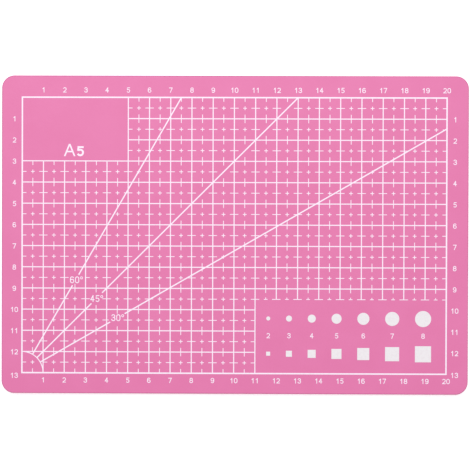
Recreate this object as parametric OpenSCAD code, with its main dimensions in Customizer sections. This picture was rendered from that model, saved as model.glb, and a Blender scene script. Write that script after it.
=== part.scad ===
// Self-healing cutting mat: five bonded plies with a measuring grid printed on
// the upper face.
//
// Origin: centre of the underside. +X runs along the long rulers, +Y runs from
// the near long ruler to the far one, +Z points out of the printed face.
// All sizes are in millimetres. Every printed mark is a thin film of ink on the
// upper face, and where two marks cross, one of them is cut back, so that the
// ink is a single layer and no two marks share the same space.

/* [Mat] */
// Whole centimetres along the long rulers
columns = 20; // [18:1:30]
// Whole centimetres along the short rulers
rows = 13; // [12:1:20]
// Plain border between the printed frame and the cut edge
border = 10; // [8:0.5:15]
// Radius of the four corners
corner_radius = 6; // [2:0.5:12]

/* [Plies] */
// Thickness of each self-healing outer sheet
skin_t = 0.8; // [0.5:0.1:1.2]
// Thickness of each thin stiffening ply
stiffener_t = 0.3; // [0.2:0.1:0.5]
// Thickness of the middle ply
core_t = 0.8; // [0.4:0.1:1.6]

/* [Lines] */
// Height of the dried ink film
ink_t = 0.05; // [0.03:0.01:0.1]
// Width of the outer frame line
frame_w = 0.7; // [0.6:0.05:1]
// Width of the centimetre lines
cm_w = 0.5; // [0.4:0.05:0.6]
// Width of the broken half-centimetre marks
fine_w = 0.35; // [0.2:0.05:0.35]
// Width of the angle lines
angle_w = 0.6; // [0.55:0.05:0.7]
// Width of the arc that joins the angle lines
arc_w = 0.45; // [0.3:0.05:0.5]
// Drift of the print along X, as the press left it
drift_x = -0.3; // [-1:0.1:1]
// Drift of the print along Y, as the press left it
drift_y = -0.3; // [-1:0.1:1]

/* [Half-centimetre marks] */
// How far a tick reaches from its centimetre line
tick_reach = 2; // [1:0.25:3]
// How far each arm of a cross reaches from its centre
cross_reach = 0.9; // [0.5:0.05:1.5]

/* [Numerals] */
// Height of the ruler numerals
ruler_h = 2.45; // [2:0.05:2.8]
// Stroke width of the ruler numerals
ruler_stroke = 0.36; // [0.3:0.02:0.42]
// Height of the numerals under the gauges
gauge_numeral_h = 2.45; // [2:0.05:2.6]
// Height of the angle numerals
angle_numeral_h = 3.2; // [3:0.1:3.6]
// Stroke width of the angle numerals
angle_stroke = 0.42; // [0.4:0.02:0.5]

/* [Panels] */
// Whole centimetres that the blank size panel takes from the far left corner
size_panel = [5, 3]; // [4:1:5]
// Width of the gauge panel, in whole centimetres from the near right corner
gauge_panel_columns = 9; // [9:1:10]

/* [Gauges] */
// Smallest gauge, in whole millimetres
gauge_first = 2; // [2:1:3]
// Largest gauge, in whole millimetres
gauge_last = 8; // [6:1:8]
// Printed size of a gauge shape as a share of its labelled size
gauge_share = 0.95; // [0.9:0.01:1]
// Gap between neighbouring gauge shapes
gauge_gap = 7.4; // [6:0.05:7.4]

/* [Hidden] */
$fn = 48;

// The grid
pitch = 10;                       // one centimetre
half = pitch / 2;
grid = [columns * pitch, rows * pitch];
mat = grid + 2 * [border, border];

// Heights of the ply faces, from the underside up
z_lower_stiffener = skin_t;
z_core = z_lower_stiffener + stiffener_t;
z_upper_stiffener = z_core + core_t;
z_top_sheet = z_upper_stiffener + stiffener_t;
z_print = z_top_sheet + skin_t;

// The gauge panel's upper edge lies halfway up its last row of cells
gauge_panel_rows = 3;
gauge_panel_x = grid.x - gauge_panel_columns * pitch;
gauge_panel_y = gauge_panel_rows * pitch + half;
size_panel_y = grid.y - size_panel.y * pitch;

// Angle lines: [angle, start and end of the gap that holds the numeral, measured
// along the line from the frame's corner]
arc_r = 10;
angle_gaps = [[30, 48.1, 56.0], [45, 46.4, 53.5], [60, 47.7, 53.5]];
// Angle numerals: [angle, centre of the two digits and the degree ring, clear
// width to the left and to the right of that centre]
angle_labels = [
    [30, [45.2, 26.1], 4.2, 2.7],
    [45, [35.3, 35.1], 3.3, 2.6],
    [60, [25.7, 43.9], 3.7, 4.4]
];
label_clear_h = 3.8;

// Numeral proportions, as shares of the numeral's height
digit_w = 0.68;
angle_digit_w = 0.62;             // the angle numerals are a little narrower
digit_gap = 0.12;
degree_r = 0.21;
degree_gap = 0.12;
degree_stroke = 0.32;

// Distances from the frame line to the middle of the ruler numerals
far_offset = 3.45;
near_offset = 3.4;
left_offset = 3.7;
right_offset = 3.9;
side_drop = 0.2;                  // side numerals sit a touch below their lines
left_corner_drop = 1.3;           // the last one on the left moves off the corner
right_corner_drop = 0.5;

// Rows of the gauge panel, above the frame line
circle_row = 26;
square_row = 9.4;
gauge_numeral_row = 17.9;
gauge_start = 6.25;               // panel edge to the middle of the first gauge

// The size mark: the letter A and a smaller, bolder 5 on one baseline, which starts
// this far from the frame's far left corner
mark_base = [19.3, -27.8];
mark_a = [6.1, 5.8];
mark_a_stroke = 0.72;
mark_a_apex_w = 1;
mark_a_bar_y = 2.2;
mark_5_x = 6.3;
mark_5_h = 4.75;
mark_5_w = 0.74;                  // its width as a share of its height
mark_5_stroke = 0.9;

// Cuts run past the film by this much
over = 0.1;
// Strokes that meet end to end run into each other by this share of their length
overlap = 0.02;

// ---- helpers ----

// A ply of the mat with round corners
module ply(z, t)
    translate([0, 0, z]) linear_extrude(t) rounded_outline();

module rounded_outline() {
    r = corner_radius;
    square([mat.x - 2 * r, mat.y], center = true);
    square([mat.x, mat.y - 2 * r], center = true);
    for (sx = [-1, 1], sy = [-1, 1])
        translate([sx * (mat.x / 2 - r), sy * (mat.y / 2 - r)]) circle(r);
}

// Ink on the upper face, drawn from the frame's near left corner
module ink(extra = 0)
    translate([drift_x - grid.x / 2, drift_y - grid.y / 2, z_print - extra])
        linear_extrude(ink_t + 2 * extra) children();

// A straight stroke with square ends
module bar(p, q, w) {
    run = q - p;
    translate(p) rotate(atan2(run.y, run.x)) translate([0, -w / 2]) square([norm(run), w]);
}

// A pill shape of half-sizes a and b
module pill(a, b) {
    r = min(a, b);
    for (s = [-1, 1]) translate([s * (a - r), s * (b - r)]) circle(r);
    if (a > b) square([2 * (a - r), 2 * b], center = true);
    if (b > a) square([2 * a, 2 * (b - r)], center = true);
}

// A closed pill-shaped stroke whose middle line has half-sizes a and b
module loop(a, b, s)
    difference() {
        pill(a + s / 2, b + s / 2);
        pill(a - s / 2, b - s / 2);
    }

// A stroke along an arc about the origin, drawn as two equal stretches
module arc(r, from, to, s)
    intersection() {
        difference() {
            circle(r + s / 2);
            circle(r - s / 2);
        }
        for (k = [0 : 1]) {
            a = from + k * (to - from) / 2;
            b = from + (k + 1) * (to - from) / 2;
            m = (a + b) / 2;
            polygon([[0, 0], 3 * r * [cos(a), sin(a)], 3 * r * [cos(m), sin(m)],
                     3 * r * [cos(b), sin(b)]]);
        }
    }

// ---- numerals ----

// One digit, centred on the origin, h tall with stroke width s; w is its width as
// a share of its height
module digit(n, h, s, w = digit_w) {
    top = (h - s) / 2;
    side = (w * h - s) / 2;
    if (n == 0) loop(side, top, s);
    if (n == 1) digit_one(h, s, top, side);
    if (n == 2) digit_two(h, s, top, side);
    if (n == 3) digit_three(s, top, side);
    if (n == 4) digit_four(s, top, side);
    if (n == 5) digit_five(s, top, side);
    if (n == 6) digit_six(s, top, side);
    if (n == 7) digit_seven(s, top, side);
    if (n == 8) digit_eight(s, top, side);
    if (n == 9) rotate(180) digit_six(s, top, side);
}

module digit_one(h, s, top, side) {
    x = 0.3 * side;
    bar([x, -h / 2], [x, h / 2], s);
    bar([x, top], [x - side, 0.4 * top], s);
}

module digit_two(h, s, top, side) {
    centre = [0, top - side];
    foot = [-side, -top];
    reach = foot - centre;
    turn = atan2(reach.y, reach.x) + acos(side / norm(reach));
    leave = centre + side * [cos(turn), sin(turn)];
    translate(centre) arc(side, turn, 165, s);
    bar(leave - overlap * (foot - leave), foot, s);
    bar([-side - s / 2, -top], [side + s / 2, -top], s);
}

module digit_three(s, top, side)
    difference() {
        digit_eight(s, top, side);
        translate([-2 * side, -0.5 * top]) square([1.6 * side, top]);
    }

module digit_four(s, top, side) {
    x = 0.4 * side;
    y = -0.4 * top;
    foot = [-side, y];
    head = [x, top];
    lean = 0.5 * s * (head - foot) / norm(head - foot);
    bar([x, -top - s / 2], [x, top + s / 2], s);
    bar([-side - s / 2, y], [side + s / 2, y], s);
    intersection() {
        bar(foot - 2 * lean, head + 2 * lean, s);
        translate(foot - [s, s] / 2) square(head - foot + [s, s]);
    }
}

module digit_five(s, top, side) {
    centre = [0, side - top];
    shoulder = centre + 0.6 * [-1.3 * side, side];
    bar([-0.65 * side - s / 2, top], [side + 0.35 * s, top], s);
    bar([-0.65 * side, top], shoulder, s);
    translate(centre) arc(side, -155, 135, s);
}

module digit_six(s, top, side) {
    bowl = 0.6 * top;
    translate([0, bowl - top]) loop(side, bowl, s);
    intersection() {
        loop(side, top, s);
        union() {
            translate([-2 * side, bowl - top]) square([2 * side, 3 * top]);
            translate([-s / 2, 0.62 * top]) square([2 * side, top]);
        }
    }
}

module digit_seven(s, top, side) {
    head = [side, top];
    foot = [-0.3 * side, -top];
    lean = 0.5 * s * (head - foot) / norm(head - foot);
    bar([-side - s / 2, top], [side + s / 2, top], s);
    intersection() {
        bar(foot - 2 * lean, head + 2 * lean, s);
        translate([-side, -top - s / 2]) square([2 * side + s / 2, 2 * top + s]);
    }
}

module digit_eight(s, top, side) {
    upper = 0.46 * top;
    lower = top - upper;
    translate([0, top - upper]) loop(0.88 * side, upper, s);
    translate([0, lower - top]) loop(side, lower, s);
}

// A number of one or two digits, centred on the origin
module numeral(value, h, s, w = digit_w) {
    tens = floor(value / 10);
    step = (w + digit_gap) * h / 2;
    if (tens == 0) digit(value, h, s, w);
    if (tens > 0) {
        translate([-step, 0]) digit(tens, h, s, w);
        translate([step, 0]) digit(value % 10, h, s, w);
    }
}

// ---- printed marks, drawn flat from the frame's near left corner ----

// The area inside the frame line
module inside_frame()
    translate([frame_w / 2, frame_w / 2]) square(grid - [frame_w, frame_w]);

module centimetre_lines_flat() {
    for (i = [1 : columns - 1]) {
        x = i * pitch;
        low = x > gauge_panel_x ? gauge_panel_y - fine_w / 2 : 0;
        high = i < size_panel.x ? size_panel_y : grid.y;
        bar([x, low], [x, high], cm_w);
    }
    for (j = [1 : rows - 1]) {
        y = j * pitch;
        low = y > size_panel_y ? size_panel.x * pitch : 0;
        high = y < gauge_panel_y ? gauge_panel_x : grid.x;
        bar([low, y], [high, y], cm_w);
    }
}

// Cells that carry half-centimetre marks: all but those under the two panels
function is_open(i, j) =
    !(i < size_panel.x && j >= rows - size_panel.y) &&
    !(i >= columns - gauge_panel_columns && j < gauge_panel_rows);
// Cells whose lower half the gauge panel covers
function is_cut(i, j) = i >= columns - gauge_panel_columns && j == gauge_panel_rows;
// The cell inside the corner arc
function is_corner(i, j) = i == 0 && j == 0;
// Cells whose centre lies under the 45 degree line
function is_crossed(i, j) = i == j && !is_corner(i, j);
// Cells that an angle numeral fills
function is_labelled(i, j) =
    len([for (l = angle_labels) if (cell_of(l[1]) == [i, j]) 1]) > 0;
function cell_of(p) = [floor(p.x / pitch), floor(p.y / pitch)];

// Half the width of line number k out of n, where the first and last are the frame
function line_half(k, n) = (k == 0 || k == n ? frame_w : cm_w) / 2;

// A tick from the middle of one side of a cell, pointing into the cell
module tick(side, turn, from)
    translate(side) rotate(turn) translate([from, -fine_w / 2])
        square([tick_reach - from, fine_w]);

module ticks_flat()
    for (i = [0 : columns - 1], j = [0 : rows - 1]) if (is_open(i, j)) {
        at = [i, j] * pitch;
        tick(at + [0, half], 0, line_half(i, columns));
        if (!is_corner(i, j)) tick(at + [pitch, half], 180, line_half(i + 1, columns));
        if (!is_cut(i, j)) tick(at + [half, 0], 90, line_half(j, rows));
        if (!is_corner(i, j)) tick(at + [half, pitch], 270, line_half(j + 1, rows));
    }

module crosses_flat()
    for (i = [0 : columns - 1], j = [0 : rows - 1])
        if (is_open(i, j) && !is_labelled(i, j) && !is_crossed(i, j))
            translate([i * pitch + half, j * pitch + half]) {
                square([2 * cross_reach, fine_w], center = true);
                low = is_cut(i, j) ? -fine_w / 2 : -cross_reach;
                translate([-fine_w / 2, low]) square([fine_w, cross_reach - low]);
            }

// One angle line, from the corner arc to the frame
module angle_line_flat(angle) {
    way = [cos(angle), sin(angle)];
    gap = [for (g = angle_gaps) if (g[0] == angle) g][0];
    reach = min(grid.x / way.x, grid.y / way.y) + angle_w;
    intersection() {
        inside_frame();
        difference() {
            union() {
                bar(way * (arc_r - arc_w), way * gap[1], angle_w);
                bar(way * gap[2], way * reach, angle_w);
            }
            circle(arc_r + arc_w / 2);
        }
    }
}

module angle_lines_flat()
    for (g = angle_gaps) angle_line_flat(g[0]);

// Clear windows round the angle numerals
module label_windows_flat()
    for (l = angle_labels)
        translate(l[1] - [l[2], label_clear_h / 2]) square([l[2] + l[3], label_clear_h]);

// ---- gauges ----

gauges = [gauge_first : gauge_last];
// Middle of a gauge: every gauge before it takes its own size and one gap
function gauge_x(d) =
    gauge_panel_x + gauge_start + (d - gauge_first) * gauge_gap
    + gauge_share * (d * d - gauge_first * gauge_first) / 2;

// ---- sub-parts: the plies ----

module top_healing_sheet() color("#ea84b3") ply(z_top_sheet, skin_t);

module upper_stiffener() color("#f3dbe6") ply(z_upper_stiffener, stiffener_t);

module core_ply() color("#e07aa8") ply(z_core, core_t);

module lower_stiffener() color("#f3dbe6") ply(z_lower_stiffener, stiffener_t);

module bottom_healing_sheet() color("#ea84b3") ply(0, skin_t);

// ---- sub-parts: the print ----

module frame_line() color("#f2edf0") ink()
    difference() {
        translate([-frame_w / 2, -frame_w / 2]) square(grid + [frame_w, frame_w]);
        inside_frame();
    }

module centimetre_lines() color("#f2edf0") ink()
    difference() {
        intersection() {
            centimetre_lines_flat();
            inside_frame();
        }
        angle_lines_flat();
    }

module half_centimetre_ticks() color("#f2edf0")
    difference() {
        ink() ticks_flat();
        ink(over) angle_lines_flat();
        ink(over) label_windows_flat();
    }

module half_centimetre_crosses() color("#f2edf0")
    difference() {
        ink() crosses_flat();
        ink(over) angle_lines_flat();
    }

module angle_line_30() color("#f2edf0") ink() angle_line_flat(30);

module angle_line_45() color("#f2edf0") ink() angle_line_flat(45);

module angle_line_60() color("#f2edf0") ink() angle_line_flat(60);

module corner_arc() color("#f2edf0") ink()
    difference() {
        intersection() {
            inside_frame();
            difference() {
                circle(arc_r + arc_w / 2);
                circle(arc_r - arc_w / 2);
            }
        }
        bar([arc_r, 0], [arc_r, pitch], cm_w);
        bar([0, arc_r], [pitch, arc_r], cm_w);
    }

module angle_numerals() color("#f2edf0") ink()
    for (l = angle_labels) {
        h = angle_numeral_h;
        ring = degree_r * h;
        digits_w = (2 * angle_digit_w + digit_gap) * h;
        total_w = digits_w + degree_gap * h + 2 * ring;
        translate(l[1]) {
            translate([(digits_w - total_w) / 2, 0])
                numeral(l[0], h, angle_stroke, angle_digit_w);
            translate([total_w / 2 - ring, h / 2 - ring])
                loop(ring - degree_stroke / 2, ring - degree_stroke / 2, degree_stroke);
        }
    }

module far_numerals() color("#f2edf0") ink()
    for (i = [1 : columns])
        translate([i * pitch, grid.y + far_offset]) numeral(i, ruler_h, ruler_stroke);

module near_numerals() color("#f2edf0") ink()
    for (i = [1 : columns])
        translate([i * pitch, -near_offset]) numeral(i, ruler_h, ruler_stroke);

// The side rulers count down from the far frame line
module side_numerals(x, corner_drop)
    for (j = [1 : rows]) {
        drop = j == rows ? corner_drop : side_drop;
        translate([x, grid.y - j * pitch - drop]) numeral(j, ruler_h, ruler_stroke);
    }

module left_numerals() color("#f2edf0") ink()
    side_numerals(-left_offset, left_corner_drop);

module right_numerals() color("#f2edf0") ink()
    side_numerals(grid.x + right_offset, right_corner_drop);

module size_mark() color("#f2edf0") ink()
    translate([mark_base.x, grid.y + mark_base.y]) {
        w = mark_a.x;
        h = mark_a.y;
        s = mark_a_stroke;
        foot = 0.55 * s;
        intersection() {
            square([w, h]);
            union() {
                bar([foot, 0] - [0, s], [w / 2, h], s);
                bar([w - foot, 0] - [0, s], [w / 2, h], s);
                bar([w / 4, mark_a_bar_y], [3 * w / 4, mark_a_bar_y], s);
                translate([(w - mark_a_apex_w) / 2, h - s]) square([mark_a_apex_w, s]);
            }
        }
        translate([mark_5_x + mark_5_w * mark_5_h / 2, mark_5_h / 2])
            digit(5, mark_5_h, mark_5_stroke, mark_5_w);
    }

module circle_gauges() color("#f2edf0") ink()
    for (d = gauges) translate([gauge_x(d), circle_row]) circle(gauge_share * d / 2);

module square_gauges() color("#f2edf0") ink()
    for (d = gauges)
        translate([gauge_x(d), square_row]) square(gauge_share * d, center = true);

module gauge_numerals() color("#f2edf0") ink()
    for (d = gauges)
        translate([gauge_x(d), gauge_numeral_row])
            numeral(d, gauge_numeral_h, ruler_stroke);

top_healing_sheet();
upper_stiffener();
core_ply();
lower_stiffener();
bottom_healing_sheet();
frame_line();
centimetre_lines();
half_centimetre_ticks();
half_centimetre_crosses();
angle_line_30();
angle_line_45();
angle_line_60();
corner_arc();
angle_numerals();
far_numerals();
near_numerals();
left_numerals();
right_numerals();
size_mark();
circle_gauges();
square_gauges();
gauge_numerals();
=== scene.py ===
# %% [markdown]
# # A self-healing cutting mat
# The mat is five sheets of PVC, pressed together hot and cut to shape with a steel rule.
# The upper face carries a measuring grid in white screen ink, a film far thinner than a
# sheet of paper.
#
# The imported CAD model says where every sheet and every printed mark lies. This script
# makes each of them again as a finer piece, with soft cut edges, numerals drawn as a pen
# would draw them, and finishes built from nodes. It never moves anything.

# %% Load the fixed frame
import math

import bpy
from mathutils import Matrix, Vector
from mathutils.geometry import delaunay_2d_cdt


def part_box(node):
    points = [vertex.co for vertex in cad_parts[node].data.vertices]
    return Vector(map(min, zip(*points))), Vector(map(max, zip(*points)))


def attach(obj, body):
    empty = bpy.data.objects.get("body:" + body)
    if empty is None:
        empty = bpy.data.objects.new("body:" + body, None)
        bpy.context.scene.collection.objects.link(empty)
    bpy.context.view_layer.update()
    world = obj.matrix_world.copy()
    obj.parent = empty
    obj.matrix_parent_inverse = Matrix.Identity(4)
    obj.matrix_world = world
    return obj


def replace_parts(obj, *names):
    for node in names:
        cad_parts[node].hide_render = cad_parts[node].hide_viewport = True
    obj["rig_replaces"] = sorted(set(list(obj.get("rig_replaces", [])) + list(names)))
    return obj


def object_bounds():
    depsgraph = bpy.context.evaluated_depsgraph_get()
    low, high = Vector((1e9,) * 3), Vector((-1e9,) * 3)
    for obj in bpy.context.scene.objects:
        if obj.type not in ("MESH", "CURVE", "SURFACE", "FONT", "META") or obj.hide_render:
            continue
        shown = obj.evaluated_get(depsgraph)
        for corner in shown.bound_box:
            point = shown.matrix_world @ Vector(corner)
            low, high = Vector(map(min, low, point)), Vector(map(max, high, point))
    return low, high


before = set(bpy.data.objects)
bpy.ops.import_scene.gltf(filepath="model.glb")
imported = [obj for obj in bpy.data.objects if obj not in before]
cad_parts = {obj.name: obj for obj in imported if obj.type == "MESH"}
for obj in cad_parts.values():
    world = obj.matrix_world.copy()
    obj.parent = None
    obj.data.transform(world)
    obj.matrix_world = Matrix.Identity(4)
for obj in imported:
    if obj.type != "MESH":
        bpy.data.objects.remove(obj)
cad_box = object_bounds()
print(f"CAD model: {len(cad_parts)} nodes, from {cad_box[0][:]} to {cad_box[1][:]} m")

# %% [markdown]
# ## Measures
# Blender works in metres and a maker of mats in millimetres, so every size below is in
# millimetres and is scaled once, where a mesh is made. Positions come from the frame:
# the sheets give the outline, and the printed frame line gives the corner that every
# other mark is measured from. Values that are given have names in capitals, and values
# worked out from them or from the frame have names in small letters.

# %% Read the sizes off the frame
MM = 0.001


def box_mm(node):
    """The lowest and the highest corner of a CAD node, in millimetres."""
    low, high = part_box(node)
    return low / MM, high / MM


_, sheet_high = box_mm("top_healing_sheet")
half_length, half_width = sheet_high.x, sheet_high.y
line_low, line_high = box_mm("frame_line")
FRAME_W = 0.7
PITCH = 10
print_corner = line_low.xy + Vector((FRAME_W, FRAME_W)) / 2
print_z, ink_t = line_low.z, line_high.z - line_low.z
columns = round((line_high.x - line_low.x - FRAME_W) / PITCH)
rows = round((line_high.y - line_low.y - FRAME_W) / PITCH)
grid = Vector((columns, rows)) * PITCH
print(f"Mat {2 * half_length:.1f} x {2 * half_width:.1f} mm, grid {columns} x {rows} cm,")
print(f"print {ink_t:.3f} mm thick on the face at {print_z:.2f} mm")

# %% [markdown]
# ## Round paths
# Nearly every curve here is a quarter circle between two straights: the corners of the
# mat, the bowls of the numerals, the degree rings. One function gives the points along
# such a path. A curve object with a bevel would do it too, but plain points can also be
# cut against each other, which the print needs. Points fall on even steps of a full turn,
# so that curves which share a centre also share their directions. A point that would
# fall a hair from either end of the path is left out, because two points that nearly
# touch would upset the cutting.

# %% Points along a rounded path
ORIGIN = Vector((0, 0))
# points closer than this are one point
SAME_PLACE = 1e-4
# the shortest step to keep, as a share of a full one
SHORTEST_STEP = 0.2
# steps in a full turn, where a curve has to look round from close by
FINE_STEPS = 96


def unit(angle):
    """The direction at an angle in degrees."""
    return Vector((math.cos(math.radians(angle)), math.sin(math.radians(angle))))


def rounded(centre, half_w, half_h, start=0, end=360, radius=None, steps=32):
    """Points round a slot of these half sizes, from one angle to another, in degrees."""
    radius = radius or min(half_w, half_h)
    step = math.copysign(360 / steps, end - start)
    between = range(math.floor(start / step + SHORTEST_STEP) + 1,
                    math.ceil(end / step - SHORTEST_STEP))
    stops = [start, *(k * step for k in between), end]
    path = []
    for before, after in zip(stops, stops[1:]):
        middle = unit((before + after) / 2)
        bend = Vector((math.copysign(half_w - radius, middle.x),
                       math.copysign(half_h - radius, middle.y)))
        for angle in (before, after):
            here = centre + bend + radius * unit(angle)
            if not path or (here - path[-1]).length > SAME_PLACE:
                path.append(here)
    if (path[0] - path[-1]).length < SAME_PLACE:
        path.pop()
    return path


print(f"A full turn has {len(rounded(ORIGIN, 1, 1))} points")

# %% [markdown]
# ## Colours
# Makers' samples are matched by eye on a screen, so the colours are written the way a
# screen names them, from 0 to 255, and turned into the linear values that the shader
# works with.

# %% Screen colours to shader colours
def tint(red, green, blue):
    """A shader colour from a screen colour."""
    def linear(value):
        value /= 255
        return value / 12.92 if value <= 0.04045 else ((value + 0.055) / 1.055) ** 2.4
    return (linear(red), linear(green), linear(blue), 1)


SHEET_PINK = tint(229, 121, 174)
SHEET_PINK_DEEP = tint(227, 118, 171)
# The two cut pinks are partly the sheet's own cut colour and partly painted shade. They are set
# darker than the face so that the rounded upper rim shows as a dark line round the mat.
CUT_DEEP_WITH_SHADE = tint(198, 100, 146)
CUT_PALE_WITH_SHADE = tint(214, 120, 163)
STIFFENER_PALE = tint(243, 217, 229)
STIFFENER_DULL = tint(232, 196, 213)
CORE_PINK = tint(214, 104, 152)
CORE_FLECK = tint(226, 134, 173)
STROKE_WHITE = tint(254, 238, 253)
STROKE_THIN = tint(248, 229, 244)
SPREAD_WHITE = tint(240, 235, 239)
SPREAD_THIN = tint(236, 227, 233)
print(f"Sheet pink is {tuple(round(c, 3) for c in SHEET_PINK[:3])} to the shader")

# %% [markdown]
# ## Building finishes from nodes
# Each finish is a Principled shader whose colour, roughness and bump are fed by noise.
# The size of the grain matters more than its strength, so every noise here is asked for
# by the size of its grain in millimetres. The coordinates are the object's own, so the
# grain keeps its scale on every piece and needs no unwrapping.

# %% Small helpers for node trees
def new_finish(name):
    """A material with its node tree, its shader and the object's own coordinates."""
    material = bpy.data.materials.new(name)
    material.use_nodes = True
    tree = material.node_tree
    shader = tree.nodes["Principled BSDF"]
    place = tree.nodes.new("ShaderNodeTexCoord").outputs["Object"]
    return material, tree, shader, place


def stretched(tree, place, scale):
    """Coordinates scaled along X, Y and Z, so that the grain is drawn out."""
    node = tree.nodes.new("ShaderNodeMapping")
    node.inputs["Scale"].default_value = scale
    tree.links.new(place, node.inputs["Vector"])
    return node.outputs["Vector"]


def grain(tree, place, size, detail=2.0):
    """Noise with grains of a size in millimetres."""
    node = tree.nodes.new("ShaderNodeTexNoise")
    node.inputs["Scale"].default_value = 1 / (size * MM)
    node.inputs["Detail"].default_value = detail
    tree.links.new(place, node.inputs["Vector"])
    return node.outputs["Fac"]


def pebbles(tree, place, size):
    """Rounded bumps of a size in millimetres, as an embossing roller leaves them."""
    node = tree.nodes.new("ShaderNodeTexVoronoi")
    node.feature = "SMOOTH_F1"
    node.inputs["Scale"].default_value = 1 / (size * MM)
    tree.links.new(place, node.inputs["Vector"])
    return node.outputs["Distance"]


# %% [markdown]
# ## Feeding the shader
# A pattern alone is only a grey value between 0 and 1. A colour ramp turns it into two
# related colours, a map range turns it into a span of roughness, and a bump node turns it
# into small heights. Keeping both ends of each span close together is what makes a
# finish look like one material with a life of its own, and not like a pattern.

# %% Colour, roughness and bump from patterns
def colour_from(tree, shader, pattern, low_colour, high_colour, low=0.35, high=0.65):
    """The shader's colour runs from one to the other as the pattern goes from low to high."""
    ramp = tree.nodes.new("ShaderNodeValToRGB")
    ramp.color_ramp.elements[0].position = low
    ramp.color_ramp.elements[0].color = low_colour
    ramp.color_ramp.elements[1].position = high
    ramp.color_ramp.elements[1].color = high_colour
    tree.links.new(pattern, ramp.inputs["Fac"])
    tree.links.new(ramp.outputs["Color"], shader.inputs["Base Color"])


def roughness_from(tree, shader, pattern, smooth, rough):
    """The shader's roughness follows the pattern between two values."""
    node = tree.nodes.new("ShaderNodeMapRange")
    node.inputs["From Min"].default_value = 0.3
    node.inputs["From Max"].default_value = 0.7
    node.inputs["To Min"].default_value = smooth
    node.inputs["To Max"].default_value = rough
    tree.links.new(pattern, node.inputs["Value"])
    tree.links.new(node.outputs["Result"], shader.inputs["Roughness"])


def bump_from(tree, shader, *layers):
    """Bump from layers of (pattern, height in millimetres), one on top of another."""
    normal = None
    for pattern, height in layers:
        node = tree.nodes.new("ShaderNodeBump")
        node.inputs["Distance"].default_value = height * MM
        tree.links.new(pattern, node.inputs["Height"])
        if normal is not None:
            tree.links.new(normal, node.inputs["Normal"])
        normal = node.outputs["Normal"]
    tree.links.new(normal, shader.inputs["Normal"])


# %% [markdown]
# ## The pink face
# Self-healing PVC is soft, and an embossing roller gives it a fine, dry pebble so that a
# ruler doesn't slide. From a hand's distance it looks evenly matt, with clouds in the
# pigment that are barely there. The long, low waves come from the press plates, and only
# show where the light skims the sheet. The reverse has the same finish with a coarser
# pebble, so one function makes both.

# %% Pebbled sheet finish
def sheet_finish(name, pebble, height):
    """Embossed soft PVC, with pebbles of a size and a height in millimetres."""
    material, tree, shader, place = new_finish(name)
    clouds = grain(tree, place, 14, detail=4)
    colour_from(tree, shader, clouds, SHEET_PINK_DEEP, SHEET_PINK)
    roughness_from(tree, shader, grain(tree, place, 0.9), 0.4, 0.5)
    waves = grain(tree, place, 5, detail=0)
    bump_from(tree, shader, (waves, 0.02), (pebbles(tree, place, pebble), height))
    return material


print_face = sheet_finish("healing_pvc_face", 0.32, 0.04)
reverse_face = sheet_finish("healing_pvc_reverse", 0.7, 0.05)
print("Sheet finishes:", print_face.name, reverse_face.name)

# %% [markdown]
# ## The cut edges
# A steel rule goes through the stack from the printed side and leaves fine marks that run
# down the thickness. Stretching the noise along Z gives those marks. The soft sheets cut
# clean, the thin stiffeners are harder and paler, and the core, pressed from regrind, is
# flecked.

# %% Cut edge finishes
DOWN_THE_CUT = (1, 1, 0.06)


def cut_finish(name, colours, mark, rough):
    """A cut edge with marks of a width in millimetres that run down the thickness."""
    material, tree, shader, place = new_finish(name)
    marks = grain(tree, stretched(tree, place, DOWN_THE_CUT), mark, detail=3)
    colour_from(tree, shader, marks, *colours)
    roughness_from(tree, shader, marks, rough - 0.08, rough + 0.08)
    bump_from(tree, shader, (marks, 0.03))
    shader.inputs["Specular IOR Level"].default_value = 0.35
    return material


# the sheets' cut edge, shoulder included, takes the darkened cut pinks: partly its own colour, partly
# painted shade along the rim
sheet_cut_with_shade = cut_finish("healing_pvc_cut_with_shade", (CUT_DEEP_WITH_SHADE, CUT_PALE_WITH_SHADE), 0.35, 0.6)
stiffener_cut = cut_finish("stiffener_pvc_cut", (STIFFENER_DULL, STIFFENER_PALE), 0.25, 0.45)
print("Cut finishes:", sheet_cut_with_shade.name, stiffener_cut.name)

# %% [markdown]
# ## The flecked core
# The core is pressed from ground-up offcuts of the same pink PVC. Its cut edge shows the
# grains as pale flecks, so the colour follows an unstretched noise, while the rule's marks
# go into the roughness and the bump only.

# %% Flecked core finish
def core_finish():
    """Pressed regrind: paler flecks in a deep pink, with rule marks down the cut."""
    material, tree, shader, place = new_finish("core_pvc_flecked")
    colour_from(tree, shader, grain(tree, place, 0.5, detail=4), CORE_PINK, CORE_FLECK, 0.45, 0.7)
    marks = grain(tree, stretched(tree, place, DOWN_THE_CUT), 0.3)
    roughness_from(tree, shader, marks, 0.6, 0.75)
    bump_from(tree, shader, (marks, 0.03), (grain(tree, place, 0.2), 0.02))
    shader.inputs["Specular IOR Level"].default_value = 0.3
    return material


core_cut = core_finish()
print("Core finish:", core_cut.name)

# %% [markdown]
# ## The ink
# Screen ink is pressed through a mesh and dries a little uneven. A narrow stroke holds a
# full bead of ink and is the brighter of the two, with a breath of pink that the sheet
# scatters up into it from both sides. A wide shape is wiped thinner by the squeegee and
# dries to a duller, more neutral white. The ink fills the pebble of the sheet, so it is
# smoother than the PVC and has a slight sheen.

# %% White screen ink
def ink_finish(name, body, thin):
    """White screen ink on pink PVC, from its thinnest spots to its full body."""
    material, tree, shader, place = new_finish(name)
    colour_from(tree, shader, grain(tree, place, 1.1, detail=4), thin, body, 0.25, 0.55)
    roughness_from(tree, shader, grain(tree, place, 0.6), 0.42, 0.56)
    bump_from(tree, shader, (grain(tree, place, 0.35), 0.008))
    return material


stroke_ink = ink_finish("white_ink_stroke", STROKE_WHITE, STROKE_THIN)
spread_ink = ink_finish("white_ink_spread", SPREAD_WHITE, SPREAD_THIN)
print("Ink finishes:", stroke_ink.name, spread_ink.name)

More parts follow.
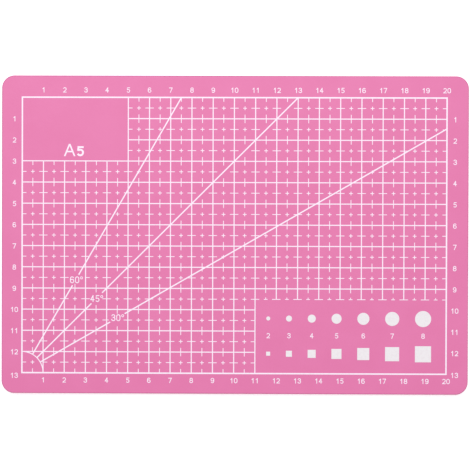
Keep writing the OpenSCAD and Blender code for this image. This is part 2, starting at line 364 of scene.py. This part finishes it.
# %% [markdown]
# ## Handing a piece to the frame
# Every piece rides on the mat's one body, stands for the CAD node of the same part and
# names the material slot its finish belongs to. Doing this in one place means that no
# piece can be forgotten.

# %% Make an object and hand it over
pieces = []


def make_piece(name, node, corners_mm, faces, finishes):
    """A mesh object from corners in millimetres, standing for one CAD node."""
    mesh = bpy.data.meshes.new(name)
    mesh.from_pydata([Vector(corner) * MM for corner in corners_mm], [], faces)
    for finish in finishes:
        mesh.materials.append(finish)
    mesh.validate()
    piece = bpy.data.objects.new(name, mesh)
    bpy.context.scene.collection.objects.link(piece)
    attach(piece, "root")
    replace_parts(piece, node)
    pieces.append(piece)
    return piece


# %% [markdown]
# ## The five sheets
# A sheet could be a box with a Bevel modifier, but the cut edge has a profile of its own:
# the rule drags the upper rim of the soft sheet down as it bites, the lower rim stays
# nearly square, and the harder plies spring back a hair behind the soft ones. So the
# profile is drawn as pairs of (how far in from the outline, height) and carried round
# the outline, ring by ring. Because the outline's corner radius shrinks with the inset,
# every ring has the same number of points and the rings join up as quads.

# %% Profile of a cut edge
RIM_STEPS = 6
CORNER_RADIUS = 6


def cut_profile(bottom, top, foot, shoulder, set_back):
    """Pairs of (inset, height) up a cut edge with a rounded foot and shoulder."""
    quarter = [unit(90 * k / RIM_STEPS) for k in range(RIM_STEPS + 1)]
    up = [(set_back + foot * (1 - q.y), bottom + foot * (1 - q.x)) for q in quarter]
    over = [(set_back + shoulder * (1 - q.x), top - shoulder * (1 - q.y)) for q in quarter]
    return up + over


def outline(inset):
    """The mat's outline, drawn in by an inset in millimetres."""
    return rounded(ORIGIN, half_length - inset, half_width - inset,
                   radius=CORNER_RADIUS - inset, steps=FINE_STEPS)


print(f"Outline of {len(outline(0))} points, profile of {2 * RIM_STEPS + 2}")

# %% [markdown]
# ## Rings of quads
# Carrying a profile round an outline is what the Screw modifier does for a turned part.
# Here the outline is a rounded rectangle, so the rings are laid out one above another and
# each is joined to the next. The walls are shaded smooth, which rounds the rim without
# more faces, and the two flat faces stay flat and get the finish of the face.

# %% Carry the profile round the outline
def make_sheet(node, foot, shoulder, set_back, faces_finish, cut):
    """One sheet of the stack: rings of quads up the cut edge, closed by two flat faces."""
    low, high = box_mm(node)
    profile = cut_profile(low.z, high.z, foot, shoulder, set_back)
    rings = [[(p.x, p.y, z) for p in outline(inset)] for inset, z in profile]
    count = len(rings[0])
    corners = [corner for ring in rings for corner in ring]
    faces = []
    for level in range(len(rings) - 1):
        base = level * count
        for k in range(count):
            after = (k + 1) % count
            faces.append((base + k, base + after, base + count + after, base + count + k))
    walls = len(faces)
    faces.append(tuple(range(count - 1, -1, -1)))
    faces.append(tuple(range(len(corners) - count, len(corners))))
    piece = make_piece(f"laminated_{node}", node, corners, faces, [faces_finish, cut])
    for face in piece.data.polygons:
        face.material_index = int(face.index < walls)
        face.use_smooth = face.index < walls
    print(f"{piece.name}: {low.z:.1f} to {high.z:.1f} mm, {len(faces)} faces")
    return piece


# %% [markdown]
# ## Laying up the stack
# The sheets go down in the order of the press: soft, hard, core, hard, soft. Only the
# upper rim is worn round by the rule, by nearly half a millimetre. The other rims are
# broken by a tenth or less, just enough to catch a line of light between the plies.

# %% Lay up the stack
# node, radius at the foot, radius at the shoulder, set-back, faces, cut edge
make_sheet("bottom_healing_sheet", 0.12, 0.05, 0.0, reverse_face, sheet_cut_with_shade)
make_sheet("lower_stiffener", 0.03, 0.03, 0.07, stiffener_cut, stiffener_cut)
make_sheet("core_ply", 0.05, 0.05, 0.04, core_cut, core_cut)
make_sheet("upper_stiffener", 0.03, 0.03, 0.07, stiffener_cut, stiffener_cut)
make_sheet("top_healing_sheet", 0.05, 0.45, 0.0, print_face, sheet_cut_with_shade)

# %% [markdown]
# ## A pen for the print
# The artwork of a printed grid is all strokes of an even width. A stroke here is a chain
# of quads along a path, with the joints mitred, so straight bars, rings and the bowls of
# numerals all come from the same few lines. Text objects would be quicker, but their
# letter shapes can't be matched to the even, round-bowled numerals that such mats carry.

# %% Strokes
def at(x, y):
    return Vector((x, y))


def quarter_turn(way):
    return Vector((-way.y, way.x))


def stroke(path, width, closed=False):
    """Quads that a pen of one width leaves along a path, with square ends."""
    onward = path[1:] + (path[:1] if closed else [])
    ways = [(after - here).normalized() for here, after in zip(path, onward)]
    ribs = []
    for k, here in enumerate(path):
        into = ways[k - 1] if closed or k else ways[0]
        out = ways[k] if k < len(ways) else ways[-1]
        across = quarter_turn((into + out).normalized())
        reach = width / 2 / across.dot(quarter_turn(out))
        ribs.append((here - reach * across, here + reach * across))
    if closed:
        ribs.append(ribs[0])
    return [[a[0], b[0], b[1], a[1]] for a, b in zip(ribs, ribs[1:])]


def ring(centre, half_w, half_h, width):
    """A closed stroke round a slot of these half sizes."""
    return stroke(rounded(centre, half_w, half_h), width, closed=True)


# %% [markdown]
# ## Square cuts
# A slanted stroke has slanted ends, but the type on a ruler stands between two straight
# lines. So slanted strokes are drawn too long and then trimmed to a box, one side of the
# box at a time: corners inside stay, and a new corner is set where an edge crosses.

# %% Plain shapes and trimming
def block(x0, y0, x1, y1):
    return [at(x0, y0), at(x1, y0), at(x1, y1), at(x0, y1)]


def trimmed(shape, low, high):
    """The part of a convex shape that lies between two corners of an upright box."""
    for axis in (0, 1):
        for side, limit in ((1, low[axis]), (-1, high[axis])):
            kept = []
            for here, after in zip(shape, shape[1:] + shape[:1]):
                depth, next_depth = side * (here[axis] - limit), side * (after[axis] - limit)
                if depth >= 0:
                    kept.append(here)
                if depth * next_depth < 0:
                    kept.append(here.lerp(after, depth / (depth - next_depth)))
            shape = kept
    return shape


def moved(shapes, offset):
    return [[corner + offset for corner in shape] for shape in shapes]


# %% [markdown]
# ## Numerals
# Every numeral is drawn round the middle of its own body, between plus and minus half its
# height. `top` and `side` are how far the pen's middle line reaches up and across, and
# every other measure is a share of those two, so one set of shapes serves the small
# ruler numerals, the larger angle numerals and the bold size mark.

# %% Numerals with straight strokes
DIGIT_W = 0.68
DIGIT_GAP = 0.12


def one(h, s, top, side):
    x = 0.3 * side
    return stroke([at(x, -h / 2), at(x, h / 2)], s) + stroke([at(x, top), at(x - side, 0.4 * top)], s)


def four(h, s, top, side):
    foot, head = at(-side, -0.4 * top), at(0.4 * side, top)
    lean = s * (head - foot).normalized()
    edge = at(s, s) / 2
    slope = trimmed(stroke([foot - lean, head + lean], s)[0], foot - edge, head + edge)
    bar = stroke([at(-side - s / 2, foot.y), at(side + s / 2, foot.y)], s)
    return [slope] + bar + stroke([at(head.x, -h / 2), at(head.x, h / 2)], s)


def seven(h, s, top, side):
    foot, head = at(-0.3 * side, -top), at(side, top)
    lean = s * (head - foot).normalized()
    slope = trimmed(stroke([foot - lean, head + lean], s)[0],
                    at(-side, -h / 2), at(side + s / 2, h / 2))
    return [slope] + stroke([at(-side - s / 2, top), at(side + s / 2, top)], s)


# %% [markdown]
# ## Bowls
# The round numerals are made of parts of slots: a ring for the zero, two for the eight,
# and open stretches of a ring for the two, three, five and six. The nine is the six
# turned half round, as in most sign writing.

# %% Numerals with bowls
def zero(h, s, top, side):
    return ring(ORIGIN, side, top, s)


def two(h, s, top, side):
    centre, foot = at(0, top - side), at(-side, -top)
    reach = foot - centre
    leave = math.degrees(math.atan2(reach.y, reach.x) + math.acos(side / reach.length))
    bowl = rounded(centre, side, side, 165, leave)
    return stroke(bowl + [foot], s) + stroke([at(-side - s / 2, -top), at(side + s / 2, -top)], s)


def three(h, s, top, side):
    upper, lower = 0.46 * top, 0.54 * top
    waist = at(-0.4 * side, top - 2 * upper)
    above = rounded(at(0, top - upper), 0.88 * side, upper, 183, -90)
    below = rounded(at(0, lower - top), side, lower, 90, -183)
    return stroke(above + [waist], s) + stroke([waist] + below, s)


def five(h, s, top, side):
    centre, rise = at(0, side - top), at(-0.65 * side, top)
    shoulder = centre + 0.6 * at(-1.3 * side, side)
    bar = stroke([rise - at(s / 2, 0), at(side + 0.35 * s, top)], s)
    return bar + stroke([rise, shoulder], s) + stroke(rounded(centre, side, side, -155, 135), s)


def six(h, s, top, side):
    bowl = 0.6 * top
    tip = math.degrees(math.asin(1 - 0.38 * top / side))
    stem = rounded(ORIGIN, side, top, tip, 180) + [at(-side, bowl - top)]
    return ring(at(0, bowl - top), side, bowl, s) + stroke(stem, s)


def eight(h, s, top, side):
    upper, lower = 0.46 * top, 0.54 * top
    return ring(at(0, top - upper), 0.88 * side, upper, s) + ring(at(0, lower - top), side, lower, s)


def nine(h, s, top, side):
    return [[-corner for corner in shape] for shape in six(h, s, top, side)]


# %% [markdown]
# ## Whole numbers
# A digit's width is a share of its height. The two digits of a number stand an even gap
# apart, round the middle of the pair.

# %% Whole numbers
DIGITS = [zero, one, two, three, four, five, six, seven, eight, nine]


def digit(value, h, s, share=DIGIT_W):
    """One digit round the origin, from its height, its pen and its width share."""
    return DIGITS[value](h, s, (h - s) / 2, (share * h - s) / 2)


def numeral(value, h, s, centre, share=DIGIT_W):
    """A number of one or two digits round a centre."""
    step = at((share + DIGIT_GAP) * h / 2, 0)
    if value < 10:
        return moved(digit(value, h, s, share), centre)
    return (moved(digit(value // 10, h, s, share), centre - step)
            + moved(digit(value % 10, h, s, share), centre + step))


print("Quads in the numeral 20:", len(numeral(20, 2.45, 0.36, ORIGIN)))

# %% [markdown]
# ## The artwork
# All marks are drawn flat, from the corner of the printed frame, and each is filed under
# the piece it belongs to. Marks may cross freely here. The order in which pieces are
# first drawn settles who keeps the ink where two of them cross, the frame line first.
# A mark can also be kept clear of an area, as the ticks are round the angle numerals.

# %% The drawing, and the frame line
drawing = {}


def draw(piece, shapes, clear=()):
    """Files shapes under a piece, with areas that this piece leaves blank."""
    marks = drawing.setdefault(piece, {"ink": [], "clear": []})
    marks["ink"] += shapes
    marks["clear"] += clear


draw("frame_line", stroke(block(0, 0, grid.x, grid.y), FRAME_W, closed=True))

# %% [markdown]
# ## The angle lines
# Three lines leave the corner at 30, 45 and 60 degrees, to lay a strap or a bevel along.
# They start on a quarter circle of 1 cm, which keeps the corner itself free of ink, and
# each is broken where its numeral stands. An angle and two distances along the line say
# all of that, so one loop draws the three.

# %% The corner arc and the angle lines
ARC_R, ARC_W, ANGLE_W = 10, 0.45, 0.6
ANGLE_GAPS = {30: (48.1, 56.0), 45: (46.4, 53.5), 60: (47.7, 53.5)}

arc = stroke(rounded(ORIGIN, ARC_R, ARC_R, 0, 90, steps=2 * FINE_STEPS), ARC_W)
within_arc = [ORIGIN, *(quad[0] for quad in arc), arc[-1][1]]
for angle, (gap_start, gap_end) in ANGLE_GAPS.items():
    way = unit(angle)
    reach = min(grid.x / way.x, grid.y / way.y)
    run = stroke([way * ARC_R, way * gap_start], ANGLE_W)
    run += stroke([way * gap_end, way * reach], ANGLE_W)
    draw(f"angle_line_{angle}", run, clear=[within_arc])
    print(f"{angle} degree line, {reach:.1f} mm from the corner")

# %% [markdown]
# ## The centimetre lines
# Lines cross the whole grid a centimetre apart, except where a plain panel takes their
# place. The size panel takes 5 by 3 cm at the far left. The gauge panel takes the last
# 9 cm at the near right, up to half a centimetre above the third line. An Array modifier
# would repeat one line evenly, but it can't cut single copies short at a panel.

# %% The centimetre lines
CM_W, FINE_W = 0.5, 0.35
SIZE_COLUMNS, SIZE_ROWS = 5, 3
GAUGE_COLUMNS, GAUGE_ROWS = 9, 3
gauge_x0 = grid.x - GAUGE_COLUMNS * PITCH
gauge_y1 = (GAUGE_ROWS + 0.5) * PITCH
size_x1 = SIZE_COLUMNS * PITCH
size_y0 = grid.y - SIZE_ROWS * PITCH

for x in range(PITCH, int(grid.x), PITCH):
    low = gauge_y1 - FINE_W / 2 if x > gauge_x0 else 0
    high = size_y0 if x < size_x1 else grid.y
    draw("centimetre_lines", stroke([at(x, low), at(x, high)], CM_W))
for y in range(PITCH, int(grid.y), PITCH):
    low = size_x1 if y > size_y0 else 0
    high = gauge_x0 if y < gauge_y1 else grid.x
    draw("centimetre_lines", stroke([at(low, y), at(high, y)], CM_W))
draw("corner_arc", arc)

# %% [markdown]
# ## Room for the angle numerals
# Each angle numeral sits in a gap of its own line, inside one cell of the grid. The small
# marks of that cell would run into it, so each label also has a window that they stay
# out of.

# %% Where the angle numerals stand
# angle: centre of the label, clear width to its left, clear width to its right
ANGLE_LABELS = {
    30: (at(45.2, 26.1), 4.2, 2.7),
    45: (at(35.3, 35.1), 3.3, 2.6),
    60: (at(25.7, 43.9), 3.7, 4.4),
}
LABEL_CLEAR_H = 3.8
windows = [block(c.x - left, c.y - LABEL_CLEAR_H / 2, c.x + right, c.y + LABEL_CLEAR_H / 2)
           for c, left, right in ANGLE_LABELS.values()]
labelled = {(int(c.x // PITCH), int(c.y // PITCH)) for c, _, _ in ANGLE_LABELS.values()}
print("Cells that hold an angle numeral:", sorted(labelled))

# %% [markdown]
# ## The half-centimetre marks
# In every cell a tick points inwards from the middle of each side, and a small cross
# marks the centre. Two ticks of neighbouring cells look like one dash across their line.
# A few cells differ: the corner inside the arc has only two ticks, and the row that the
# gauge panel cuts in half has no tick on its near side.

# %% Which cells carry which marks
TICK_REACH, CROSS_REACH = 2, 0.9
# side: where its tick starts, as shares of the cell, and the way it points
TICKS = {"left": (at(0, 0.5), at(1, 0)), "right": (at(1, 0.5), at(-1, 0)),
         "near": (at(0.5, 0), at(0, 1)), "far": (at(0.5, 1), at(0, -1))}


def missing_ticks(i, j):
    """The sides of a cell that carry no tick."""
    if (i, j) == (0, 0):
        return {"right", "far"}
    return {"near"} if over_gauges(i, j) else set()


def over_gauges(i, j):
    """True for the cells whose near half the gauge panel covers."""
    return i >= columns - GAUGE_COLUMNS and j == GAUGE_ROWS


def open_cells():
    """Every cell that neither panel covers."""
    for i in range(columns):
        for j in range(rows):
            under_size = i < SIZE_COLUMNS and j >= rows - SIZE_ROWS
            under_gauges = i >= columns - GAUGE_COLUMNS and j < GAUGE_ROWS
            if not under_size and not under_gauges:
                yield i, j


# %% [markdown]
# ## Ticks and crosses
# A tick starts on the middle of its centimetre line, and the line keeps the ink that they
# share, so the two join without a seam. A cross is left out where a numeral stands, and
# where the 45 degree line runs through the middle of the cell.

# %% Draw the ticks and the crosses
for i, j in open_cells():
    for side, (start, way) in TICKS.items():
        if side not in missing_ticks(i, j):
            foot = (at(i, j) + start) * PITCH
            draw("half_centimetre_ticks", stroke([foot, foot + TICK_REACH * way], FINE_W))
draw("half_centimetre_ticks", [], clear=windows)

for i, j in open_cells():
    under_45 = i == j and i > 0
    if (i, j) not in labelled and not under_45:
        centre = at(i + 0.5, j + 0.5) * PITCH
        arm = at(0, CROSS_REACH)
        low = centre - at(0, FINE_W / 2) if over_gauges(i, j) else centre - arm
        across = stroke([centre - at(CROSS_REACH, 0), centre + at(CROSS_REACH, 0)], FINE_W)
        draw("half_centimetre_crosses", across + stroke([low, centre + arm], FINE_W))
print("Open cells:", len(list(open_cells())))

# %% [markdown]
# ## The angle numerals
# They are taller than the ruler numerals but a little narrower, with a thin pen, so that
# they stay readable between the lines. The degree sign is a small ring level with the
# tops of the digits, and the two digits and the ring are centred together.

# %% The angle numerals
ANGLE_H, ANGLE_STROKE, RING_STROKE = 3.2, 0.42, 0.32
ANGLE_DIGIT_W, DEGREE_R, DEGREE_GAP = 0.62, 0.21, 0.12

for angle, (centre, _, _) in ANGLE_LABELS.items():
    ring_r = DEGREE_R * ANGLE_H
    digits_w = (2 * ANGLE_DIGIT_W + DIGIT_GAP) * ANGLE_H
    label_w = digits_w + DEGREE_GAP * ANGLE_H + 2 * ring_r
    middle = centre - at((label_w - digits_w) / 2, 0)
    pen_r = ring_r - RING_STROKE / 2
    sign = centre + at(label_w / 2 - ring_r, ANGLE_H / 2 - ring_r)
    draw("angle_numerals", numeral(angle, ANGLE_H, ANGLE_STROKE, middle, ANGLE_DIGIT_W))
    draw("angle_numerals", ring(sign, pen_r, pen_r, RING_STROKE))
    print(f"{angle} degrees, {label_w:.1f} mm wide")

# %% [markdown]
# ## The ruler numerals
# Four rows of numerals stand outside the frame. The long rulers count from the left and
# the side rulers from the far edge towards you. The last number on each side moves a
# little, so that it stays clear of the corner where two rulers meet.

# %% The ruler numerals
RULER_H, RULER_STROKE = 2.45, 0.36
FAR_OFFSET, NEAR_OFFSET, LEFT_OFFSET, RIGHT_OFFSET = 3.45, 3.4, 3.7, 3.9
SIDE_DROP, LEFT_LAST_DROP, RIGHT_LAST_DROP = 0.2, 1.3, 0.5


def ruler_numeral(row, value, centre):
    draw(row, numeral(value, RULER_H, RULER_STROKE, centre))


for i in range(1, columns + 1):
    ruler_numeral("far_numerals", i, at(i * PITCH, grid.y + FAR_OFFSET))
    ruler_numeral("near_numerals", i, at(i * PITCH, -NEAR_OFFSET))
for j in range(1, rows + 1):
    y = grid.y - j * PITCH
    left_drop = LEFT_LAST_DROP if j == rows else SIDE_DROP
    right_drop = RIGHT_LAST_DROP if j == rows else SIDE_DROP
    ruler_numeral("left_numerals", j, at(-LEFT_OFFSET, y - left_drop))
    ruler_numeral("right_numerals", j, at(grid.x + RIGHT_OFFSET, y - right_drop))
print("Ruler numerals:", 2 * (columns + rows))

# %% [markdown]
# ## The size mark
# The mat is about as large as a sheet of A5 paper, and says so in plain type. The A has
# two slanted legs, drawn too long at the foot and trimmed level, a thin bar, and a small
# block that makes its top flat. The 5 is shorter, broader and bolder than the A.

# %% The size mark
# from the frame's far left corner to the foot of the A
MARK_PLACE = at(19.3, -27.8)
LETTER = at(6.1, 5.8)
LETTER_STROKE, APEX_W, CROSSBAR_Y = 0.72, 1, 2.2
FIVE_X, FIVE_H, FIVE_STROKE, FIVE_W = 6.3, 4.75, 0.9, 0.74

mark_foot = at(0, grid.y) + MARK_PLACE
leg = 0.55 * LETTER_STROKE
apex = at(LETTER.x / 2, LETTER.y)
strokes = [
    *stroke([at(leg, -LETTER_STROKE), apex], LETTER_STROKE),
    *stroke([at(LETTER.x - leg, -LETTER_STROKE), apex], LETTER_STROKE),
    *stroke([at(LETTER.x / 4, CROSSBAR_Y), at(3 * LETTER.x / 4, CROSSBAR_Y)], LETTER_STROKE),
    block(apex.x - APEX_W / 2, LETTER.y - LETTER_STROKE, apex.x + APEX_W / 2, LETTER.y),
]
capital = [trimmed(shape, ORIGIN, LETTER) for shape in strokes]
draw("size_mark", moved(capital, mark_foot))
five_centre = mark_foot + at(FIVE_X + FIVE_W * FIVE_H / 2, FIVE_H / 2)
draw("size_mark", moved(digit(5, FIVE_H, FIVE_STROKE, FIVE_W), five_centre))
print("Size mark:", len(drawing["size_mark"]["ink"]), "shapes")

# %% [markdown]
# ## The gauges
# Discs and squares from 2 to 8 mm help to pick a punch or a rivet by laying it on them.
# Each takes its own width and an even gap along the row, so a gauge's place is a sum over
# the sizes before it. The print comes out a twentieth smaller than its label.

# %% The gauges
GAUGE_SIZES = range(2, 9)
GAUGE_SHARE, GAUGE_GAP, GAUGE_START = 0.95, 7.4, 6.25
CIRCLE_Y, GAUGE_NUMERAL_Y, SQUARE_Y = 26, 17.9, 9.4

for size in GAUGE_SIZES:
    before = size - GAUGE_SIZES[0]
    widths = GAUGE_SHARE * (size ** 2 - GAUGE_SIZES[0] ** 2) / 2
    x = gauge_x0 + GAUGE_START + before * GAUGE_GAP + widths
    half = GAUGE_SHARE * size / 2
    draw("circle_gauges", [rounded(at(x, CIRCLE_Y), half, half, steps=FINE_STEPS)])
    draw("square_gauges", [block(x - half, SQUARE_Y - half, x + half, SQUARE_Y + half)])
    draw("gauge_numerals", numeral(size, RULER_H, RULER_STROKE, at(x, GAUGE_NUMERAL_Y)))
print(f"{len(drawing)} kinds of mark,", sum(len(m["ink"]) for m in drawing.values()), "shapes")

# %% [markdown]
# ## One layer of ink
# Stacking crossed strokes would leave faces inside each other, which flicker and shade
# badly. Instead the whole drawing goes through a constrained triangulation, which cuts
# every shape where another crosses it and says which shapes lie under each small area.
# Each area then goes to one piece only. The Boolean modifier could do it piece by piece,
# but more slowly, and it is easily upset by edges that lie on each other.

# %% Cut the drawing into areas
# the kind of result to ask for: only what the shapes cover, as faces that a mesh can hold
MESH_FACES = 4


def cut_up(drawing):
    """Corner points, and for each inked area its corners and the piece that owns it."""
    corners, shapes, roles = [], [], []
    for piece, marks in drawing.items():
        for role, outlines in marks.items():
            for shape in outlines:
                shapes.append(list(range(len(corners), len(corners) + len(shape))))
                corners += shape
                roles.append((piece, role))
    points, _, areas, _, _, sources = delaunay_2d_cdt(corners, [], shapes, MESH_FACES, SAME_PLACE)
    owned = []
    for area, source in zip(areas, sources):
        covering = {roles[k] for k in source}
        keepers = [p for p in drawing if (p, "ink") in covering and (p, "clear") not in covering]
        if keepers:
            owned.append((area, keepers[0]))
    return points, owned


points, owned = cut_up(drawing)
print(f"{len(points)} corners, {len(owned)} inked areas")

# %% [markdown]
# ## The rim of the film
# Wet ink draws up into a rounded rim as it dries, so the top of the film is a touch
# narrower than its foot. Where the ink ends, each corner is drawn in along the mitre of
# its two edges. Where one piece meets another inside the ink nothing is drawn in, so the
# pieces join without a seam.

# %% Find the rim and draw it in
RIM_IN = 0.025
# a mitre at a sharp corner is cut short at this many times the step
LONGEST_MITRE = 2.5
# keeps the division safe where two edges fold back on each other
LEAST_OPENING = 0.05


def edges_of(area):
    return zip(area, area[1:] + area[:1])


def rim_insets(points, owned):
    """For each corner on the rim, the step that draws the top of the film in."""
    directed = {edge for area, _ in owned for edge in edges_of(area)}
    normals = {}
    for start, end in directed:
        if (end, start) not in directed:
            normal = quarter_turn((points[end] - points[start]).normalized())
            normals.setdefault(start, []).append(normal)
            normals.setdefault(end, []).append(normal)
    insets = {}
    for corner, found in normals.items():
        if len(found) == 2:
            mitre = (found[0] + found[1]) / max(1 + found[0].dot(found[1]), LEAST_OPENING)
            mitre *= min(1, LONGEST_MITRE / mitre.length)
            insets[corner] = RIM_IN * mitre
    return insets


insets = rim_insets(points, owned)
print(f"{len(insets)} corners on the rim")

# %% [markdown]
# ## Areas too small to draw in
# A rim drawn in by a few hundredths can still fold an area over where a crossing leaves
# a very short edge. The signed surface of an area tells: it turns negative when the area
# folds. An area that would fold, or lose most of its surface, keeps its corners where
# they are.

# %% Undo the inset where an area would fold
# the least share of its surface that an area has to keep
LEAST_SURFACE = 0.2


def surface(corners):
    """Twice the signed area of a flat outline, positive when anticlockwise."""
    return sum(a.x * b.y - b.x * a.y for a, b in zip(corners, corners[1:] + corners[:1]))


def folded(area):
    """True when drawing an area in would fold it or leave too little of it."""
    drawn_in = [points[k] + insets.get(k, ORIGIN) for k in area]
    return surface(drawn_in) <= LEAST_SURFACE * surface([points[k] for k in area])


released = 0
for area, _ in owned:
    if folded(area):
        for k in area:
            released += insets.pop(k, None) is not None
print(f"{released} rim corners left upright, {sum(folded(a) for a, _ in owned)} areas still folded")

# %% [markdown]
# ## Raising the film
# Each piece of ink becomes a closed body: its areas once at the foot and once at the top,
# and walls where the piece ends. The walls bend inwards near the top. A Solidify modifier
# would raise the areas too, but it can't tell the rim of the ink from a seam between two
# pieces.

# %% Raise the film
# (share of the film's height, share of the inset) from the foot to the top
FILM_LEVELS = [(0, 0), (0.6, 0.25), (1, 1)]
WIDE_SHAPES = {"circle_gauges", "square_gauges"}


def raise_film(piece):
    """A closed mesh of one piece of ink: areas above and below, joined by its walls."""
    areas = [area for area, keeper in owned if keeper == piece]
    own_edges = {edge for area in areas for edge in edges_of(area)}
    used = sorted({k for area in areas for k in area})
    index = {k: n for n, k in enumerate(used)}
    corners = []
    for rise, share in FILM_LEVELS:
        for k in used:
            flat = print_corner + points[k] + share * insets.get(k, ORIGIN)
            corners.append((flat.x, flat.y, print_z + rise * ink_t))
    top = (len(FILM_LEVELS) - 1) * len(used)
    faces = [tuple(top + index[k] for k in area) for area in areas]
    faces += [tuple(index[k] for k in reversed(area)) for area in areas]
    for start, end in own_edges:
        if (end, start) not in own_edges:
            a, b = index[start], index[end]
            for level in range(0, top, len(used)):
                faces.append((level + a, level + b, level + len(used) + b, level + len(used) + a))
    ink = spread_ink if piece in WIDE_SHAPES else stroke_ink
    return make_piece(f"printed_{piece}", piece, corners, faces, [ink])


for piece in drawing:
    film = raise_film(piece)
    print(f"{film.name}: {len(film.data.polygons)} faces")

# %% [markdown]
# ## Checking against the frame
# A slip in a formula moves a mark by a hair that nobody sees until two pieces disagree.
# So each piece's box is compared with the box of the CAD node it stands for, and the
# worst difference is printed.

# %% Compare every piece with its CAD node
worst = 0
for piece in pieces:
    spots = [corner.co for corner in piece.data.vertices]
    for node in piece["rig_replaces"]:
        low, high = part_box(node)
        for axis in range(3):
            along = [spot[axis] for spot in spots]
            gap = max(abs(min(along) - low[axis]), abs(max(along) - high[axis])) / MM
            if gap > worst:
                worst, where = gap, piece.name
print(f"Largest difference {worst:.3f} mm, on {where}")

# %% [markdown]
# ## The table
# The mat lies on a lit white table, as catalogue photographers use to lose the shadows:
# it glows a little, so only a hint of shade is left along the near edge. The table is
# clear from below, so that the reverse of the mat can be looked at, and it stops just
# under the rim. White board against the whole reverse would pass pink light to and fro
# until the reverse looked far too red.

# %% The table
TABLE_HALF = 4000
TABLE_DROP = 0.02
TUCK = 0.3


def table_finish():
    material, tree, shader, _ = new_finish("white_table")
    shader.inputs["Base Color"].default_value = (0.95, 0.95, 0.95, 1)
    shader.inputs["Roughness"].default_value = 0.9
    shader.inputs["Specular IOR Level"].default_value = 0.1
    shader.inputs["Emission Color"].default_value = (1, 1, 1, 1)
    shader.inputs["Emission Strength"].default_value = 0.4
    clear = tree.nodes.new("ShaderNodeBsdfTransparent")
    side = tree.nodes.new("ShaderNodeNewGeometry")
    choice = tree.nodes.new("ShaderNodeMixShader")
    tree.links.new(side.outputs["Backfacing"], choice.inputs["Fac"])
    tree.links.new(shader.outputs["BSDF"], choice.inputs[1])
    tree.links.new(clear.outputs["BSDF"], choice.inputs[2])
    tree.links.new(choice.outputs["Shader"], tree.nodes["Material Output"].inputs["Surface"])
    return material


opening = outline(TUCK)
table_edge = rounded(ORIGIN, TABLE_HALF, TABLE_HALF, radius=TABLE_HALF / 2, steps=96)
count = len(opening)
table_z = cad_box[0].z / MM - TABLE_DROP
table_corners = [Vector((*spot, table_z)) * MM for spot in opening + table_edge]
table_faces = [(k, count + k, count + (k + 1) % count, (k + 1) % count) for k in range(count)]
table_mesh = bpy.data.meshes.new("table")
table_mesh.from_pydata(table_corners, [], table_faces)
table_mesh.materials.append(table_finish())
table = bpy.data.objects.new("table", table_mesh)
bpy.context.scene.collection.objects.link(table)
print(f"Table {2 * TABLE_HALF * MM:.0f} m wide at {table_z:.2f} mm")

# %% [markdown]
# ## The light
# A bright, even room does most of the work. One large softbox hangs beyond the far edge,
# and its sheen lifts the far half of the mat a little, which is what tells the eye that
# the PVC is matt plastic and not paper.

# %% The room and the softbox
scene = bpy.context.scene
scene.view_settings.view_transform = "Standard"
room = bpy.data.worlds.new("white_room")
room.use_nodes = True
room.node_tree.nodes["Background"].inputs["Color"].default_value = (1, 1, 1, 1)
room.node_tree.nodes["Background"].inputs["Strength"].default_value = 0.64
scene.world = room

softbox_light = bpy.data.lights.new("softbox", "AREA")
softbox_light.shape = "RECTANGLE"
softbox_light.size, softbox_light.size_y = 1.0, 0.9
softbox_light.energy = 8.3
softbox = bpy.data.objects.new("softbox", softbox_light)
softbox.location = (-0.1, 0.65, 1.05)
softbox.rotation_mode = "QUATERNION"
softbox.rotation_quaternion = (-softbox.location).to_track_quat("-Z", "Y")
scene.collection.objects.link(softbox)
print(f"Softbox {softbox.location.length:.2f} m away, {softbox_light.energy:.1f} W")

# %% [markdown]
# ## The camera
# The mat is seen flat from above, as in a catalogue, through a long lens. The eye is a
# few millimetres off the mat's centre and the camera is turned by a fraction of a
# degree, as any hand-set copy stand leaves it.

# %% The camera
EYE = Vector((5.7, 4.4, 618.2)) * MM
LOOKS_AT = Vector((0.15, 0, 3)) * MM
ROLL = 0.18

camera_data = bpy.data.cameras.new("copy_stand")
camera_data.lens = 100
camera_data.sensor_width = 36
camera = bpy.data.objects.new("copy_stand", camera_data)
backward = (EYE - LOOKS_AT).normalized()
rightward = Vector((0, 1, 0)).cross(backward).normalized()
axes = Matrix((rightward, backward.cross(rightward), backward)).transposed()
camera.matrix_world = (Matrix.Translation(EYE) @ axes.to_4x4()
                       @ Matrix.Rotation(math.radians(ROLL), 4, "Z"))
scene.collection.objects.link(camera)
scene.camera = camera
print(f"Camera {(LOOKS_AT - EYE).length * 1000:.0f} mm from the mat")

# %% [markdown]
# ## Finish
# The finished mat must fill the same box as the CAD model. The scene is brought up to date at the
# end.

# %% Bring the scene up to date
bpy.context.view_layer.update()
